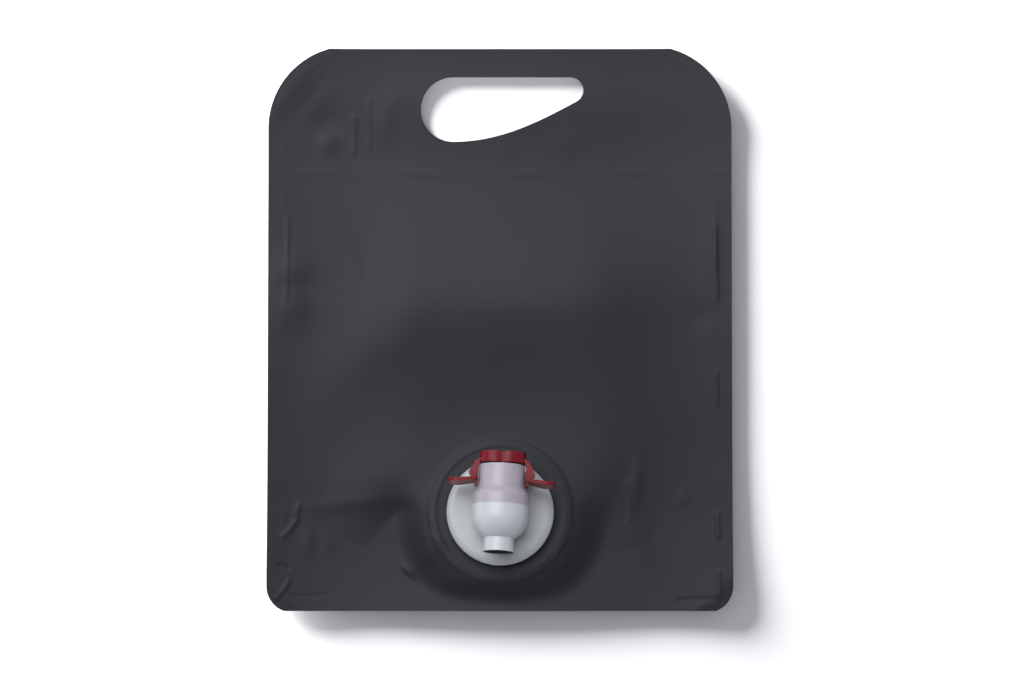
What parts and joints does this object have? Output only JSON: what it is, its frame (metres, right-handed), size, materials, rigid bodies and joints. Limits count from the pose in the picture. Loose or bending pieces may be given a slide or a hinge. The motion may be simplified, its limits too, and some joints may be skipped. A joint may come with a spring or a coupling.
{
  "type": "stand-up pouch",
  "caption": "Empty stand-up drinks pouch of dark film, lying on its back, with a handle hole, a folded bottom gusset and a press tap in a gland near its bottom edge.",
  "frame": {"origin": "on the floor, under the middle of the pouch's outline", "axes": "+Z out of the front panel, +Y from the bottom edge to the handle hole, +X to the right as the front is looked at"},
  "size_m": [0.194, 0.235, 0.0373],
  "materials": {
    "film": "satin charcoal laminated film",
    "gland_plastic": "moulded natural polyethylene",
    "clear_plastic": "moulded translucent polypropylene",
    "red_plastic": "moulded deep red polypropylene"
  },
  "bodies": {
    "pouch": {"pouch": "film", "gland": "gland_plastic"},
    "tap": {"tap_body": "clear_plastic"},
    "plunger": {"plunger": "red_plastic", "return_dome": "red_plastic"},
    "handle_left": {"handle_left": "red_plastic"},
    "handle_right": {"handle_right": "red_plastic"}
  },
  "joints": [
    {"name": "tap_swivel", "type": "hinge", "parent": "pouch", "child": "tap", "pos_m": [0.0002, -0.076, 0.01407], "axis": [0.0087, 0.1564, 0.9877], "continuous": true},
    {"name": "plunger_press", "type": "slide", "parent": "tap", "child": "plunger", "axis": [-0.0454, -0.9866, 0.1567], "range_m": [0, 0.00175], "stiffness_N_per_m": 2500, "springref_m": -0.001},
    {"name": "handle_left_swing", "type": "hinge", "parent": "tap", "child": "handle_left", "pos_m": [-0.00928, -0.05614, 0.02214], "axis": [-0.0087, -0.1564, -0.9877], "range_deg": [0, 11.2]},
    {"name": "handle_right_swing", "type": "hinge", "parent": "tap", "child": "handle_right", "pos_m": [0.0115, -0.0571, 0.02211], "axis": [0.0087, 0.1564, 0.9877], "range_deg": [0, 11.2]}
  ],
  "couplings": [
    {"joint": "handle_left_swing", "follows": "plunger_press", "rad_per_m": 109.7},
    {"joint": "handle_right_swing", "follows": "plunger_press", "rad_per_m": 109.7}
  ]
}
